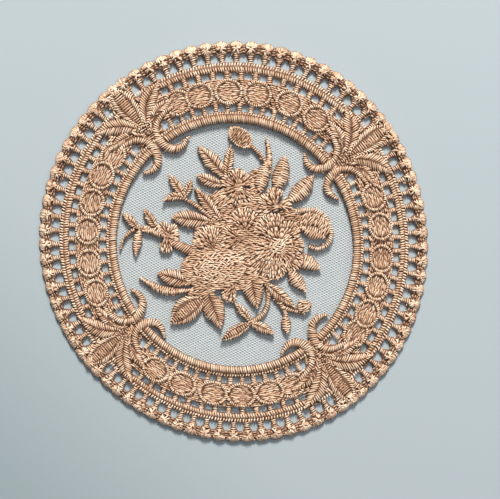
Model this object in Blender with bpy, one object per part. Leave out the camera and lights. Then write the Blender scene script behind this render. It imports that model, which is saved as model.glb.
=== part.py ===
"""Lace coaster, 120 mm across, lying flat with its middle at the origin.

Three pieces: a disc of net, an openwork lace rim, and a bouquet worked on the net. Each is a flat sheet
cut to its outline whose top is raised along cords, leaves, petals and medallions.
Tables are in millimetres and degrees; the meshes are in metres, +Z up.
"""

import math

import bmesh
import bpy
from mathutils import Vector
from mathutils.geometry import delaunay_2d_cdt

MM = 0.001
WELD = 0.03
TIGHT_WELD = 0.00001
SHARP_ANGLE = 50.0

# Heights above the table
CLOTH = 1.0
OVER_NET = 1.3
SATIN_EDGE = 1.65
RIBBON_CREST = 2.1
SATIN_CREST = 2.35

# Radii of the rim's rows, from the net outwards
NET_RADIUS = 37.5
STEP_INNER, STEP_OUTER = 37.9, 38.5
RING_INNER = 36.5
OUTER_EDGE = 60.0
RIM_PROFILE = ((36.5, 1.65), (37.7, 2.2), (39.0, 1.7), (39.7, 1.0),
               (51.3, 1.0), (52.6, 1.7), (53.9, 1.0), (56.6, 1.1), (58.1, 2.0), (60.2, 1.0))

# The four leaf sprays: heading, and how far each ribbon tail lies out from the deepest, clockwise side first
SPRAYS = ((129.0, (0.0, 0.0)), (36.6, (0.0, 0.0)), (-53.4, (0.7, 0.0)), (-140.1, (0.0, 0.8)))

# The four quarters, each from a spray of the first kind to the next, and the repeats of the edging in
# one: the repeat beside a spray is shorter
QUARTERS = ((129.0, 36.6), (129.0, 219.9), (-53.4, 36.6), (-53.4, -140.1))
REPEATS = 21
SHORT_REPEAT = 3.45
SMOOTH_STEPS = 48
ROW_LINES = (37.7, 39.0, 39.7, 51.3, 52.6, 53.9)
HEAD_MIDDLE = 58.1

# The cloth lies slightly out of round, its middle lower than its edge
OVAL, OVAL_HEADING, THREE_LOBES = 0.0188, 108.3, 0.007
RING_DROP, EDGE_DROP = 1.1, 0.2

# Gaps between neighbouring stems of the edging, and the longer one beside a spray: across and outwards
EGG_GAP = ((-1.3, 54.0), (1.3, 54.0), (1.4, 55.2), (0.6, 56.8), (-0.6, 56.8), (-1.4, 55.2))
SPRAY_GAP = ((-0.8, 52.5), (0.8, 52.5), (1.3, 54.6), (0.6, 56.8), (-0.6, 56.8), (-1.3, 54.6))

# One round head of the edging: share of a repeat and radius
HEAD = ((-0.5, 58.9), (-0.38, 59.7), (-0.14, 60.2), (0.14, 60.2), (0.38, 59.7))

# Rows of small gaps: shares of the way between sprays, half width, inner and outer radius
LADDER_OUTER = {"first": 0.15, "last": 0.85, "count": 14, "half": 1.2, "inner": 49.2, "outer": 51.1}
LADDER_INNER = {"first": 0.141, "last": 0.855, "count": 14, "half": 1.2, "inner": 39.9, "outer": 41.9}

# Medallions, sunk inside a raised border: shares of the way between sprays, middle radius and half lengths
MEDALLION_SHARES = (0.177, 0.273, 0.396, 0.517, 0.656, 0.787)
MEDALLION = {"radius": 45.4, "across": 3.9, "along": 4.55, "crest": 2.0, "middle": 1.5}

# A spray's leaves in its own axes, across and outwards: base, tip, width, bend, widest share
SPRAY_LEAVES = (
    ("middle", (0.0, 42.6), (0.0, 59.6), 7.0, 0.0, 0.61),
    ("upper", (0.8, 43.4), (13.0, 51.9), 5.2, 2.0, 0.52),
    ("lower", (0.8, 41.6), (12.8, 45.2), 4.0, 2.0, 0.50),
)

# The spray's cords that arch over a round hole each, and its two ribbon tails
ARCH_ROUTE = ((1.3, 39.0), (2.4, 41.3), (4.2, 42.9), (6.8, 43.7), (9.2, 43.8), (11.2, 43.5))
ARCH_WIDTHS = (2.2, 2.1, 2.0, 1.8, 1.4, 0.7)
ARCH_HOLE = ((4.4, 39.9), (7.7, 39.5), (7.8, 41.2), (6.9, 42.4), (5.4, 42.4), (4.5, 41.4))
TAIL_ROUTE = ((1.3, 39.2), (1.9, 35.6), (3.6, 33.3), (6.2, 32.8), (9.0, 33.9))
TAIL_WIDTHS = (3.2, 2.8, 2.5, 2.0, 0.7)

# The bouquet's leaves: base, tip, width, bend to the left of the way out, widest share
LEAVES = (
    ("sprig_left_long", (-15.2, 13.0), (-20.1, 20.3), 2.9, 0.0, 0.50),
    ("sprig_left_short", (-15.3, 13.0), (-13.1, 18.8), 2.4, 0.0, 0.55),
    ("sprig_left_low", (-14.9, 12.6), (-21.9, 12.0), 2.8, -1.2, 0.50),
    ("wide_left", (-6.0, 5.6), (-19.5, 7.3), 5.5, 0.0, 0.60),
    ("tall_left", (-4.2, 6.0), (-12.4, 16.5), 3.9, 0.0, 0.45),
    ("bunch_tip", (-29.0, 3.5), (-34.4, 8.7), 2.7, 0.0, 0.50),
    ("bunch_top", (-23.7, 3.7), (-27.8, 9.9), 2.9, 0.0, 0.45),
    ("bunch_hang", (-28.8, 3.6), (-30.1, -4.6), 3.0, -0.3, 0.45),
    ("bunch_arm", (-20.6, 0.9), (-28.3, 3.0), 2.9, -0.9, 0.45),
    ("top_fan_long", (-2.0, 18.6), (-11.4, 29.1), 4.9, 0.0, 0.52),
    ("top_fan_short", (-2.6, 18.8), (-1.2, 29.3), 3.3, 0.0, 0.50),
    ("top_fan_low", (-2.6, 16.6), (-11.8, 20.1), 3.9, 0.3, 0.55),
    ("spike", (9.8, 18.6), (9.4, 31.9), 1.9, -0.9, 0.45),
    ("top_wing", (7.6, 14.6), (10.1, 24.7), 4.4, 0.5, 0.42),
    ("top_blade", (12.3, 14.8), (15.3, 26.1), 5.3, -0.3, 0.48),
    ("right_flare", (15.6, 11.2), (24.0, 20.0), 5.4, -0.5, 0.50),
    ("right_low", (18.2, -5.2), (26.1, -8.7), 5.0, 0.3, 0.40),
    ("right_lowest", (16.2, -8.8), (21.7, -15.6), 4.1, 0.0, 0.45),
    ("bottom_mid", (5.0, -12.0), (6.9, -20.7), 6.1, 0.0, 0.35),
    ("bottom_kite", (-8.2, -15.8), (-4.1, -26.8), 6.7, 0.0, 0.42),
    ("sprig_low_up", (5.2, -24.8), (-0.1, -18.5), 2.6, 0.0, 0.50),
    ("sprig_low_left", (4.8, -24.9), (-4.2, -30.2), 3.7, 0.0, 0.45),
    ("sprig_low_right", (4.6, -25.0), (12.0, -28.4), 3.3, 0.3, 0.50),
    ("branch_leaf", (9.2, -12.9), (18.4, -20.3), 3.9, 0.0, 0.45),
    ("bud_low", (15.2, -22.9), (16.1, -28.2), 3.2, 0.0, 0.42),
    ("crescent", (-12.6, -14.6), (-29.1, -10.7), 2.8, 2.5, 0.50),
    ("low_left_up", (-11.6, -13.4), (-23.7, -9.8), 5.2, 0.0, 0.60),
    ("low_left_big", (-9.4, -17.6), (-19.4, -25.2), 8.0, -0.6, 0.50),
)

# Stems and ribbons: the points they pass, the width at the start and at the end
STEMS = (
    ("sprig_left", ((-15.7, 12.9), (-12.1, 11.0), (-8.8, 8.5), (-5.0, 5.6)), 1.2, 1.6),
    ("bunch_curl", ((-24.6, 3.9), (-29.5, 4.0), (-32.6, 2.1), (-34.4, -0.6), (-34.9, -2.7)), 1.5, 0.6),
    ("bunch_join", ((-20.5, 0.9), (-17.3, -1.3), (-12.7, -3.4)), 2.4, 3.2),
    ("bud_top", ((4.6, 29.3), (7.4, 26.5), (9.2, 24.0), (9.6, 20.7)), 1.2, 1.1),
    ("sprig_low", ((10.1, -13.6), (10.1, -18.9), (8.3, -22.6), (4.2, -25.2)), 1.4, 1.6),
    ("branch", ((10.4, -14.6), (13.8, -18.9), (15.3, -21.7), (15.4, -24.6)), 1.7, 1.2),
    ("branch_out", ((14.2, -20.1), (18.1, -21.3), (21.4, -21.8)), 1.3, 1.3),
    ("bell_curl", ((18.3, 8.9), (23.9, 9.3), (27.9, 6.7), (29.4, 2.1), (28.0, -1.3), (25.1, -2.5),
                   (22.3, -1.6)), 1.8, 1.2),
)

# Petals: hub, heading, reach, spread of the heading
PETALS = (
    ("bunch_up", (-20.4, 1.6), 118, 4.6, 58),
    ("bunch_upright", (-20.4, 1.6), 52, 4.2, 58),
    ("bunch_right", (-20.6, 1.6), -8, 3.8, 60),
    ("bunch_bell", (-20.5, 2.6), -95, 6.5, 46),
    ("small_up", (1.0, 16.2), 92, 5.9, 56),
    ("small_upleft", (1.0, 16.2), 150, 5.8, 56),
    ("small_right", (1.0, 16.2), 34, 5.6, 56),
    ("small_lowleft", (1.0, 16.2), 207, 5.9, 54),
    ("small_low", (1.0, 16.2), 262, 5.6, 54),
    ("small_lowright", (1.0, 16.2), 322, 5.8, 60),
    ("side_up", (12.3, 10.4), 92, 6.1, 60),
    ("side_upleft", (12.3, 10.4), 150, 5.9, 52),
    ("side_lowleft", (12.3, 10.4), 200, 5.6, 50),
    ("side_right", (12.3, 10.4), 14, 5.0, 60),
    ("mid_up", (3.4, 3.0), 100, 7.3, 92),
    ("mid_left", (2.2, 0.9), 162, 6.7, 46),
    ("mid_lowleft", (2.5, 0.9), 208, 7.6, 46),
    ("crown", (-6.6, -2.7), 118, 7.6, 100),
    ("under", (0.4, -12.7), -118, 6.6, 54),
    ("rose_up", (13.2, -0.3), 118, 9.2, 84),
    ("rose_top", (13.8, -0.3), 50, 7.7, 62),
    ("rose_side", (13.8, -0.9), -8, 7.3, 62),
    ("rose_low", (13.2, -1.5), -48, 9.5, 54),
    ("rose_foot", (12.0, -2.1), -88, 9.8, 50),
    ("rose_left", (12.6, -1.5), -130, 11.0, 60),
)

# Round forms: middle, half length, half width, turn, height
OVALS = (
    ("bed_upper_left", (-4.6, 11.0), 5.2, 4.2, 30, 1.8),
    ("bed_upper", (5.4, 10.2), 5.0, 5.0, 0, 1.8),
    ("bed_top", (6.3, 18.4), 2.6, 3.4, 0, 1.8),
    ("bed_middle", (2.8, 2.2), 6.0, 7.6, 0, 1.8),
    ("bed_right", (16.4, 6.4), 3.8, 4.0, 0, 1.8),
    ("bed_low", (1.6, -11.6), 10.6, 3.4, 6, 1.8),
    ("bed_low_left", (-10.0, -15.2), 4.6, 2.6, 20, 1.8),
    ("bed_left", (-7.4, 1.8), 5.4, 4.4, 0, 1.8),
    ("bed_inner", (-2.3, 7.3), 3.1, 3.6, 0, 1.8),
    ("bed_between", (3.2, -6.5), 2.2, 2.4, 0, 1.8),
    ("bed_shoulder", (-11.0, -2.4), 2.9, 1.9, 0, 1.8),
    ("rose_heart", (12.2, -1.8), 5.8, 5.6, 0, 2.0),
    ("rose_body", (-6.6, -8.3), 10.2, 6.6, 4, 2.2),
    ("bud_head", (1.7, 31.4), 4.3, 2.8, -38, 2.3),
    ("bell_body", (24.0, 4.7), 4.9, 3.8, -28, 2.2),
    ("branch_bloom", (21.0, -19.9), 2.4, 1.9, 15, 2.1),
    ("side_knot", (12.3, 10.2), 1.3, 1.3, 0, 2.35),
    ("small_knot", (1.0, 16.2), 1.7, 1.7, 0, 2.0),
)

# How the forms are drawn: points along an outline, and the shares that shape them
LEAF_STEPS, LEAF_FULLNESS, LEAF_SPOTS = 5, 0.8, (0.3, 0.7)
BANK_MIDDLE, LEAF_ACROSS = 0.5, ((0.0, 0.45), (0.5, 1.0), (1.0, 0.0))
PETAL_STEPS, PETAL_ROUNDING, PETAL_SPOT, PETAL_RISE = 4, 0.16, 0.62, 1.4
OVAL_STEPS, OVAL_CREST, OVAL_SPOTS = 10, 0.72, 6


def clear_scene():
    """Remove what the scene holds."""
    for thing in list(bpy.data.objects):
        bpy.data.objects.remove(thing, do_unlink=True)


def finish(name, colour, roughness):
    """A plain thread or net finish."""
    material = bpy.data.materials.new(name)
    material.use_nodes = True
    shader = material.node_tree.nodes["Principled BSDF"]
    shader.inputs["Base Color"].default_value = (*colour, 1.0)
    shader.inputs["Roughness"].default_value = roughness
    shader.inputs["Metallic"].default_value = 0.0
    return material


def polar(radius, heading):
    """The point at a radius and a heading in degrees."""
    turn = math.radians(heading)
    return radius * math.cos(turn), radius * math.sin(turn)


def mix(low, high, share):
    return low + (high - low) * share


def along(profile, place):
    """Height at a place along a profile of (place, height) rows."""
    if place <= profile[0][0]:
        return profile[0][1]
    for (start, low), (end, high) in zip(profile, profile[1:]):
        if place <= end:
            return mix(low, high, (place - start) / (end - start))
    return profile[-1][1]


def lie(x, y):
    """Where a point of the round pattern lies on the table."""
    radius = math.hypot(x, y)
    heading = math.atan2(y, x)
    rim_share = max(0.0, (radius - STEP_OUTER) / (OUTER_EDGE - STEP_OUTER))
    stretch = 1 + OVAL * math.cos(2 * (heading - math.radians(OVAL_HEADING)))
    stretch -= THREE_LOBES * rim_share * math.cos(3 * heading)
    stretch -= mix(RING_DROP, EDGE_DROP, rim_share) * math.sin(heading) / radius
    return x * stretch, y * stretch


def circle(radius, steps):
    return [polar(radius, 360 * step / steps) for step in range(steps)]


def heading_at(quarter, share):
    """Heading at a share of the way from the first spray of a quarter to the next."""
    start, end = quarter
    return start + (end - start) * share


def repeat_at(quarter, repeat):
    """Heading at a number of repeats of the edging from the first spray of a quarter."""
    start, end = quarter
    pitch = (abs(end - start) - 2 * SHORT_REPEAT) / (REPEATS - 2)
    whole = min(max(repeat - 1, 0), REPEATS - 2)
    turn = whole * pitch + (repeat - whole) * SHORT_REPEAT
    return start + math.copysign(1, end - start) * turn


def turned(point, heading):
    """A point of a motif's own axes, across and outwards, set at a heading."""
    across, out = point
    cos, sin = math.cos(math.radians(heading)), math.sin(math.radians(heading))
    return out * cos + across * sin, out * sin - across * cos


def set_at(loop, heading):
    return [turned(point, heading) for point in loop]


class Leaf:
    """A pointed leaf: two rounded banks with the rib sunk between them."""

    def __init__(self, base, tip, width, bend, belly, foot=SATIN_EDGE):
        self.base, self.tip = Vector(base), Vector(tip)
        self.run = self.tip - self.base
        self.side = Vector((-self.run.y, self.run.x)).normalized()
        self.width, self.bend, self.foot = width, bend, foot
        self.power = math.log(0.5) / math.log(belly)

    def middle(self, share):
        return self.base + self.run * share + self.side * self.bend * 4 * share * (1 - share)

    def half(self, share):
        return self.width / 2 * math.sin(math.pi * share ** self.power) ** LEAF_FULLNESS

    def outline(self):
        shares = [step / LEAF_STEPS for step in range(1, LEAF_STEPS)]
        left = [self.middle(share) + self.side * self.half(share) for share in shares]
        right = [self.middle(share) - self.side * self.half(share) for share in reversed(shares)]
        return [tuple(point) for point in (self.base, *left, self.tip, *right)]

    def spots(self):
        return [tuple(self.middle(share) + self.side * self.half(share) * BANK_MIDDLE * sign)
                for share in LEAF_SPOTS for sign in (-1, 0, 1)]

    def height(self, x, y):
        offset = Vector((x, y)) - self.base
        share = offset.dot(self.run) / self.run.length_squared
        if not 0 < share < 1:
            return 0.0
        across = offset.dot(self.side) - self.bend * 4 * share * (1 - share)
        reach = abs(across) / self.half(share)
        return mix(self.foot, SATIN_CREST, along(LEAF_ACROSS, reach)) if reach < 1 else 0.0


class Ribbon:
    """A ribbon or stem of changing width through a few points."""

    def __init__(self, route, widths, foot=SATIN_EDGE):
        self.route = [Vector(point) for point in route]
        count = len(route) - 1
        if len(widths) == 2:
            widths = [mix(*widths, place / count) for place in range(count + 1)]
        self.widths, self.foot = widths, foot

    def edge(self, place, sign):
        before = self.route[max(place - 1, 0)]
        after = self.route[min(place + 1, len(self.route) - 1)]
        run = (after - before).normalized()
        return self.route[place] + Vector((-run.y, run.x)) * sign * self.widths[place] / 2

    def outline(self):
        places = range(len(self.route))
        left = [self.edge(place, 1) for place in places]
        right = [self.edge(place, -1) for place in reversed(places)]
        return [tuple(point) for point in left + right]

    def spots(self):
        return [tuple(point) for point in self.route[1:-1]]

    def height(self, x, y):
        best = 1.0
        here = Vector((x, y))
        for place, (start, end) in enumerate(zip(self.route, self.route[1:])):
            run = end - start
            share = min(1.0, max(0.0, (here - start).dot(run) / run.length_squared))
            half = mix(self.widths[place], self.widths[place + 1], share) / 2
            best = min(best, (here - start - run * share).length / half)
        return mix(self.foot, RIBBON_CREST, 1 - best * best) if best < 1 else 0.0


class Petal:
    """A rounded petal that opens out of a hub."""

    def __init__(self, hub, heading, reach, spread):
        self.hub, self.heading, self.reach, self.spread = hub, heading, reach, spread

    def place(self, reach, heading):
        dx, dy = polar(reach, heading)
        return self.hub[0] + dx, self.hub[1] + dy

    def outline(self):
        points = [self.hub]
        for step in range(PETAL_STEPS + 1):
            turn = 2 * step / PETAL_STEPS - 1
            reach = self.reach * (1 - PETAL_ROUNDING * turn * turn)
            points.append(self.place(reach, self.heading + turn * self.spread / 2))
        return points

    def spots(self):
        return [self.place(PETAL_SPOT * self.reach, self.heading)]

    def height(self, x, y):
        dx, dy = x - self.hub[0], y - self.hub[1]
        off = math.degrees(math.atan2(dy, dx)) - self.heading
        turn = ((off + 180) % 360 - 180) / (self.spread / 2)
        out = math.hypot(dx, dy) / self.reach
        if abs(turn) > 1 or out > 1:
            return 0.0
        return mix(SATIN_EDGE, SATIN_CREST, (1 - turn * turn) * math.sin(math.pi * out ** PETAL_RISE))


class Oval:
    """An oval mound, or a medallion sunk inside a raised border."""

    def __init__(self, middle, length, width, turn, crest, centre=None, foot=SATIN_EDGE):
        self.middle, self.length, self.width, self.turn = middle, length, width, math.radians(turn)
        self.profile = ((0.0, centre or crest), (OVAL_CREST, crest), (1.0, foot))

    def place(self, reach, angle):
        x, y = self.length * reach * math.cos(angle), self.width * reach * math.sin(angle)
        cos, sin = math.cos(self.turn), math.sin(self.turn)
        return self.middle[0] + x * cos - y * sin, self.middle[1] + x * sin + y * cos

    def ring(self, reach, steps):
        return [self.place(reach, 2 * math.pi * step / steps) for step in range(steps)]

    def outline(self):
        return self.ring(1.0, OVAL_STEPS)

    def spots(self):
        return self.ring(OVAL_CREST, OVAL_SPOTS) + [self.middle]

    def height(self, x, y):
        dx, dy = x - self.middle[0], y - self.middle[1]
        cos, sin = math.cos(self.turn), math.sin(self.turn)
        reach = math.hypot((dx * cos + dy * sin) / self.length, (dy * cos - dx * sin) / self.width)
        return along(self.profile, reach) if reach < 1 else 0.0


def inside(x, y, loop):
    """Whether a point lies inside a closed loop."""
    found = False
    for (ax, ay), (bx, by) in zip(loop, loop[1:] + loop[:1]):
        if (ay > y) != (by > y) and x < ax + (y - ay) * (bx - ax) / (by - ay):
            found = not found
    return found


def triangulate(points, edges, kept, weld):
    """Triangles between points and edges where kept, and which given points became each found one."""
    found, _, triangles, origins, _, _ = delaunay_2d_cdt([Vector(p) for p in points], edges, [], 0, weld)
    faces = []
    for a, b, c in triangles:
        middle = (found[a] + found[b] + found[c]) / 3
        if kept(middle.x, middle.y):
            faces.append((a, b, c))
    return found, faces, origins


def closed_edges(loops):
    """Edges of closed loops whose points follow one another in one list."""
    edges = []
    start = 0
    for loop in loops:
        count = len(loop)
        edges += [(start + step, start + (step + 1) % count) for step in range(count)]
        start += count
    return edges


def boundary(triangles):
    """Directed edges that belong to one triangle only."""
    edges = {(a, b) for t in triangles for a, b in ((t[0], t[1]), (t[1], t[2]), (t[2], t[0]))}
    return [(a, b) for a, b in sorted(edges) if (b, a) not in edges]


def as_drawn(x, y):
    return x, y


def raised_sheet(name, material, loops, spots, kept, top, bottom, under=(), laid=lie):
    """A closed sheet whose top and underside follow height functions."""
    points = [point for loop in loops for point in loop] + spots
    upper, faces, _ = triangulate(points, closed_edges(loops), kept, WELD)
    wall = boundary(faces)
    order = sorted({corner for edge in wall for corner in edge})
    place = {corner: index for index, corner in enumerate(order)}
    edges = [(place[a], place[b]) for a, b in wall]
    edges += [(a + len(order), b + len(order)) for a, b in closed_edges(under)]
    points = [upper[corner] for corner in order] + [point for loop in under for point in loop]
    lower, floor, origins = triangulate(points, edges, kept, TIGHT_WELD)
    home = {origin: index for index, group in enumerate(origins) for origin in group}

    form = bmesh.new()
    tops = [form.verts.new(set_down(point, top, laid)) for point in upper]
    feet = [form.verts.new(set_down(point, bottom, laid)) for point in lower]
    for face in faces:
        form.faces.new([tops[corner] for corner in face])
    for face in floor:
        form.faces.new([feet[corner] for corner in reversed(face)])
    for a, b in wall:
        form.faces.new((tops[b], tops[a], feet[home[place[a]]], feet[home[place[b]]]))
    loose = [vertex for vertex in form.verts if not vertex.link_faces]
    bmesh.ops.delete(form, geom=loose, context="VERTS")
    bmesh.ops.recalc_face_normals(form, faces=form.faces)
    mesh = bpy.data.meshes.new(name)
    form.to_mesh(mesh)
    form.free()
    mesh.shade_smooth()
    mesh.set_sharp_from_angle(angle=math.radians(SHARP_ANGLE))
    mesh.materials.append(material)
    thing = bpy.data.objects.new(name, mesh)
    bpy.context.collection.objects.link(thing)
    return thing


def set_down(point, height, laid):
    """A point of a pattern as it lies on the table, at the height there, in metres."""
    x, y = laid(point.x, point.y)
    return x * MM, y * MM, height(point.x, point.y) * MM


def loop_test(loops):
    """A test of whether a point lies in any of the loops, which asks only those near it."""
    boxes = []
    for loop in loops:
        across, up = [x for x, _ in loop], [y for _, y in loop]
        boxes.append((min(across), max(across), min(up), max(up), loop))

    def test(x, y):
        return any(left < x < right and low < y < high and inside(x, y, loop)
                   for left, right, low, high, loop in boxes)
    return test


def highest(forms, x, y):
    return max(form.height(x, y) for form in forms)


def rim_forms():
    """The raised forms of the rim: the sprays' leaves and tails, and the medallions."""
    forms = []
    for heading, lifts in SPRAYS:
        for side, lift in zip((1, -1), lifts):
            for _, base, tip, width, bend, belly in SPRAY_LEAVES:
                ends = [turned((across * side, out), heading) for across, out in (base, tip)]
                if side == 1 or bend:
                    forms.append(Leaf(*ends, width, bend * side, belly, CLOTH))
            tail = [TAIL_ROUTE[0]] + [(across, out + lift) for across, out in TAIL_ROUTE[1:]]
            for route, widths in ((ARCH_ROUTE, ARCH_WIDTHS), (tail, TAIL_WIDTHS)):
                route = [turned((across * side, out), heading) for across, out in route]
                forms.append(Ribbon(route, widths, CLOTH))
    for quarter in QUARTERS:
        for share in MEDALLION_SHARES:
            heading = heading_at(quarter, share)
            forms.append(Oval(polar(MEDALLION["radius"], heading), MEDALLION["across"],
                              MEDALLION["along"], heading, MEDALLION["crest"], MEDALLION["middle"], CLOTH))
    return forms


def rim_gaps():
    """The gaps of the rim's three rows, as closed loops."""
    gaps = []
    for quarter in QUARTERS:
        for repeat in range(1, REPEATS - 1):
            gap = SPRAY_GAP if repeat in (1, REPEATS - 2) else EGG_GAP
            gaps.append(set_at(gap, repeat_at(quarter, repeat + 0.5)))
        for row in (LADDER_OUTER, LADDER_INNER):
            half, low, high = row["half"], row["inner"], row["outer"]
            rung = ((-half, low), (half, low), (half, high), (-half, high))
            for place in range(row["count"]):
                share = mix(row["first"], row["last"], place / (row["count"] - 1))
                gaps.append(set_at(rung, heading_at(quarter, share)))
    for heading, _ in SPRAYS:
        for side in (1, -1):
            gaps.append(set_at([(across * side, out) for across, out in ARCH_HOLE], heading))
    return gaps


def scalloped_edge():
    """The outer edge, a round head at every repeat."""
    points = [(repeat_at(quarter, repeat + shift) % 360, radius)
              for quarter in QUARTERS for repeat in range(REPEATS) for shift, radius in HEAD]
    return [polar(radius, heading) for heading, radius in sorted(points)]


def lace_rim(thread):
    """The openwork rim from the ring over the net's edge to the round heads."""
    forms, gaps, edge = rim_forms(), rim_gaps(), scalloped_edge()
    in_form = loop_test([form.outline() for form in forms])
    in_gap = loop_test(gaps)

    def kept(x, y):
        return in_form(x, y) or math.hypot(x, y) > RING_INNER and inside(x, y, edge) and not in_gap(x, y)

    def top(x, y):
        return max(along(RIM_PROFILE, math.hypot(x, y)), highest(forms, x, y))

    def bottom(x, y):
        return along(((STEP_INNER, OVER_NET), (STEP_OUTER, 0.0)), math.hypot(x, y))

    rows = [circle(radius, REPEATS * 4) for radius in (RING_INNER, *ROW_LINES)]
    loops = [edge, *rows, *gaps, *[form.outline() for form in forms]]
    heads = [polar(HEAD_MIDDLE, repeat_at(quarter, repeat))
             for quarter in QUARTERS for repeat in range(1, REPEATS)]
    spots = heads + [spot for form in forms for spot in form.spots()]
    steps = [circle(radius, SMOOTH_STEPS) for radius in (STEP_INNER, STEP_OUTER)]
    return raised_sheet("lace_rim", thread, loops, spots, kept, top, bottom, steps)


def net_ground(net):
    """The round of net under the bouquet and the ring."""
    edge = circle(NET_RADIUS, SMOOTH_STEPS)
    return raised_sheet("net_ground", net, [edge], [], lambda x, y: True,
                        lambda x, y: CLOTH, lambda x, y: 0.0)


def bouquet(thread):
    """The spray of leaves, stems and flowers that stands on the net."""
    forms = [Leaf(*row[1:]) for row in LEAVES]
    forms += [Ribbon(route, (start, end)) for _, route, start, end in STEMS]
    forms += [Petal(*row[1:]) for row in PETALS]
    forms += [Oval(*row[1:]) for row in OVALS]
    loops = [form.outline() for form in forms]
    kept = loop_test(loops)

    def top(x, y):
        return max(SATIN_EDGE, highest(forms, x, y))

    spots = [spot for form in forms for spot in form.spots()]
    return raised_sheet("bouquet", thread, loops, spots, kept, top, lambda x, y: OVER_NET, laid=as_drawn)


def seat(things):
    """Bring the middle of the whole outline to the origin."""
    corners = [vertex.co for thing in things for vertex in thing.data.vertices]
    middle = [(min(c[axis] for c in corners) + max(c[axis] for c in corners)) / 2 for axis in (0, 1)]
    holder = bpy.data.objects.new("coaster", None)
    bpy.context.collection.objects.link(holder)
    holder.location = (-middle[0], -middle[1], 0.0)
    for thing in things:
        thing.parent = holder


clear_scene()
rose_thread = finish("rose thread", (0.62, 0.36, 0.24), 0.45)
pale_net = finish("pale net", (0.72, 0.74, 0.74), 0.8)
seat([lace_rim(rose_thread), net_ground(pale_net), bouquet(rose_thread)])
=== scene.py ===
# %% [markdown]
# # A lace coaster, stitch by stitch
# The coaster is machine lace: a round of fine net, a thick openwork rim, and a bouquet worked on the net.
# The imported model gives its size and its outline. This lesson sews the threads that lie on it, because
# the look of lace is made by rows of separate stitches that catch the light and throw small shadows.

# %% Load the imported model
import math
import random

import bmesh
import bpy
import numpy as np
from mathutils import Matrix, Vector
from mathutils.bvhtree import BVHTree


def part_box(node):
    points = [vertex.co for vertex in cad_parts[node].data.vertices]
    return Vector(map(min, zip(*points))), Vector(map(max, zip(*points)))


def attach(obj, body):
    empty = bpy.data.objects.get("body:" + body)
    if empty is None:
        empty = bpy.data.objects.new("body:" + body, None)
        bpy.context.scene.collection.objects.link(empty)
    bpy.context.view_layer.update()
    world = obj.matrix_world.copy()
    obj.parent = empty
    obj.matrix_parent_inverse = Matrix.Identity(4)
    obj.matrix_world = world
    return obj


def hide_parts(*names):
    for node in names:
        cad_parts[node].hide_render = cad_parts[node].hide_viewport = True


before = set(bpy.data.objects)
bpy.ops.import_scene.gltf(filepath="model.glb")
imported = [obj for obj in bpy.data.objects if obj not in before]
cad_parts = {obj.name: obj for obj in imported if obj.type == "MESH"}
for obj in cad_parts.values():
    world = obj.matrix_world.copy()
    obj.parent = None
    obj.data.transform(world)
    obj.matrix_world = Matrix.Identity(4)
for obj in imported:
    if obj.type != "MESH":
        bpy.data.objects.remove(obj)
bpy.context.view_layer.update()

MM = 0.001

# %% [markdown]
# ## Table, light and camera
# The coaster lies flat on a pale table and is seen from straight above. One broad lamp stands low
# beyond the top edge, so that every raised thread has a bright side and a soft shadow, and the pale
# room fills the shadows. A long lens keeps the round true.

# %% Where the middle of the pattern lies
RING_DROP, EDGE_DROP = 1.1, 0.2
net_low, net_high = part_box("net_ground")
CENTRE = (net_low + net_high) / 2 + Vector((0.0, RING_DROP * MM, 0.0))


def on_table(x, y, z=0.0):
    """A point of the pattern, in millimetres from its middle, as a place in the scene."""
    return Vector((CENTRE.x + x * MM, CENTRE.y + y * MM, z * MM))


# %% The camera
VIEW_WIDTH = 152.5
VIEW_MIDDLE = (4.6, -2.6)
LENS, SENSOR = 100.0, 36.0

camera_data = bpy.data.cameras.new("camera")
camera_data.lens, camera_data.sensor_width = LENS, SENSOR
camera = bpy.data.objects.new("camera", camera_data)
camera.location = on_table(*VIEW_MIDDLE, VIEW_WIDTH * LENS / SENSOR)
bpy.context.collection.objects.link(camera)
bpy.context.scene.camera = camera
print("camera height, mm:", round(camera.location.z / MM))

# %% The lamps and the room's light
LAMP_TURN, LAMP_HEIGHT, LAMP_AWAY, LAMP_SIZE, LAMP_POWER = 86.0, 38.5, 1500.0, 0.33, 30.8
FILL_PLACE, FILL_SIZE, FILL_POWER = (420.0, 60.0, 700.0), 0.9, 1.9
LAMP_COLOUR, FILL_COLOUR = (1.0, 0.965, 0.91), (0.93, 0.97, 1.0)
ROOM_COLOUR, ROOM_STRENGTH = (0.93, 0.95, 1.0, 1.0), 0.16


def lamp(name, place, size, power, colour):
    """A square area lamp aimed at the middle of the coaster."""
    data = bpy.data.lights.new(name, "AREA")
    data.size, data.energy, data.color = size, power, colour
    thing = bpy.data.objects.new(name, data)
    thing.location = place
    thing.rotation_euler = (on_table(0, 0) - place).to_track_quat("-Z", "Y").to_euler()
    bpy.context.collection.objects.link(thing)


lamp_turn, lamp_rise = math.radians(LAMP_TURN), math.radians(LAMP_HEIGHT)
lamp_place = on_table(LAMP_AWAY * math.cos(lamp_turn) * math.cos(lamp_rise),
                      LAMP_AWAY * math.sin(lamp_turn) * math.cos(lamp_rise),
                      LAMP_AWAY * math.sin(lamp_rise))
lamp("window_side", lamp_place, LAMP_SIZE, LAMP_POWER, LAMP_COLOUR)
lamp("overhead", on_table(*FILL_PLACE), FILL_SIZE, FILL_POWER, FILL_COLOUR)

world = bpy.data.worlds.new("room")
world.use_nodes = True
room = world.node_tree.nodes["Background"]
room.inputs["Color"].default_value = ROOM_COLOUR
room.inputs["Strength"].default_value = ROOM_STRENGTH
bpy.context.scene.world = world
bpy.context.scene.view_settings.view_transform = "Standard"
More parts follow.
